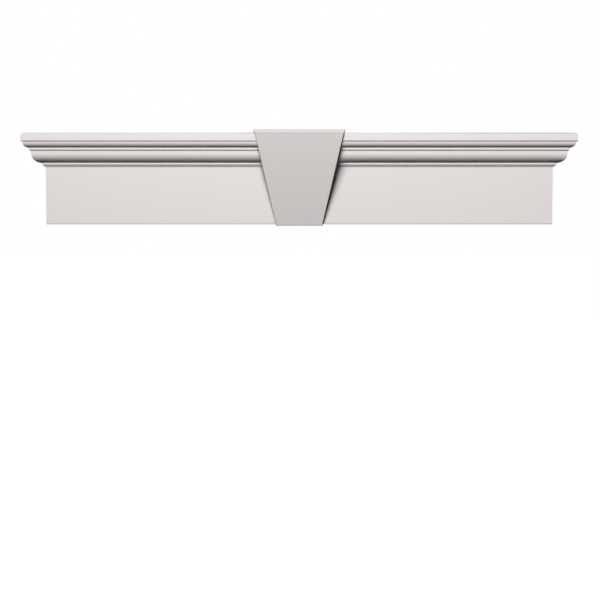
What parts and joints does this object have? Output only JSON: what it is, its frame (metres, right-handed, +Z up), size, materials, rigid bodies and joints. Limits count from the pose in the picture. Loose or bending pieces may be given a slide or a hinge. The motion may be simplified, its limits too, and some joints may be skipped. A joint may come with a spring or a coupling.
{
  "type": "window header",
  "caption": "Moulded window header: a stepped ovolo cornice with returned ends over a flat frieze, with a tapered keystone laid over its middle.",
  "frame": {"origin": "middle of the back, in the wall plane, halfway up the header's back edge", "axes": "+X along the header to the right as seen from the front, +Y into the wall, +Z up"},
  "size_m": [0.916, 0.0769, 0.161],
  "materials": {
    "header": "satin white polymer, very fine moulded grain",
    "keystone": "satin white polymer, very fine moulded grain"
  },
  "bodies": {
    "root": {"header": "header", "keystone": "keystone"}
  },
  "joints": []
}
